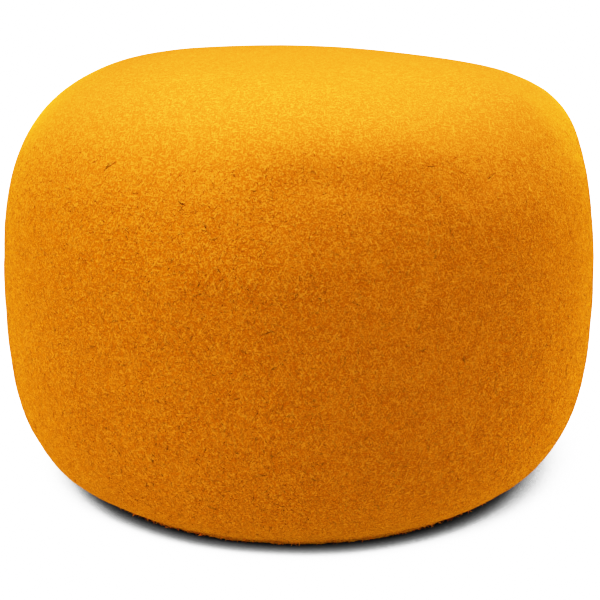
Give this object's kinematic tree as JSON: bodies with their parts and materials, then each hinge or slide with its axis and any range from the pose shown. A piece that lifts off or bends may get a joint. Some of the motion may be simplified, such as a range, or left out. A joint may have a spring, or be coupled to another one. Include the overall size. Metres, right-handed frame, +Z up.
{
  "type": "felt pouf",
  "caption": "Round seamless wool felt pouf with a flat, softly domed crown, full bulging side and drawn-in foot, standing on a flat base.",
  "frame": {"origin": "middle of the bounding box on the floor, in the plane of the flat base", "axes": "+Z up through the crown; -Y is the side seen in the picture, with +X to its right"},
  "size_m": [0.4984, 0.5012, 0.3559],
  "materials": {
    "wool_felt": "matte matted wool felt, mustard yellow, lightly fuzzy"
  },
  "bodies": {
    "root": {"felt_body": "wool_felt"}
  },
  "joints": []
}
